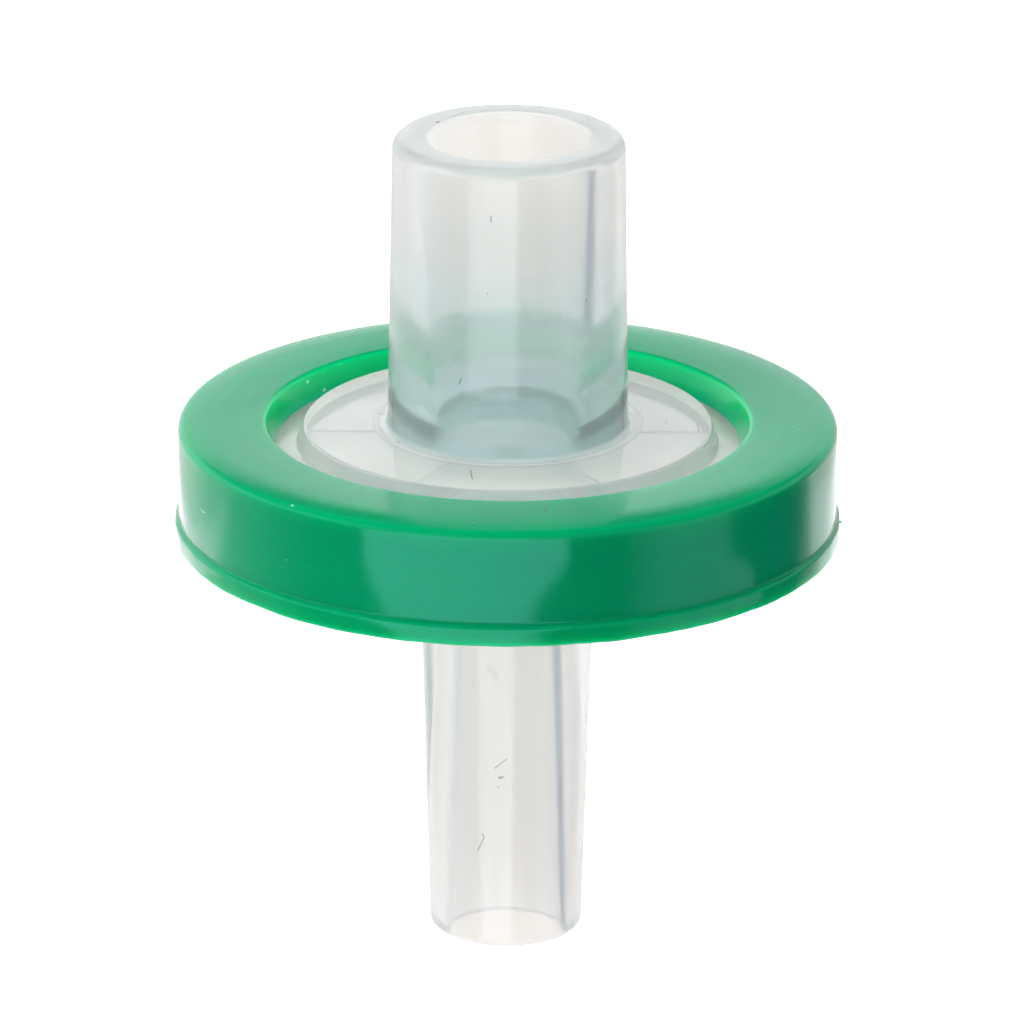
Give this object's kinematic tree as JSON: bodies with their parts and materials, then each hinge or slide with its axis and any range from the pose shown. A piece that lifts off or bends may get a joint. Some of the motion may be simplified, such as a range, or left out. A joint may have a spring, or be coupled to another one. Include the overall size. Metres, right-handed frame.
{
  "type": "syringe filter",
  "caption": "Small disc membrane filter with a luer socket on top and a long luer slip spigot below, held shut by a moulded band.",
  "frame": {"origin": "bottom centre: on the filter's axis, at the end face of the outlet spigot that it stands on", "axes": "+Z along the filter's axis from the outlet up to the inlet; +X lies along one of the inlet shell's inner ribs"},
  "size_m": [0.0174, 0.0174, 0.0218],
  "materials": {
    "clear_housing": "translucent natural polypropylene, as moulded",
    "membrane": "white microporous membrane",
    "green_band": "green polypropylene, satin gloss, as moulded"
  },
  "bodies": {
    "root": {"inlet_housing": "clear_housing", "outlet_housing": "clear_housing", "filter_membrane": "membrane", "overmould_band": "green_band"}
  },
  "joints": []
}
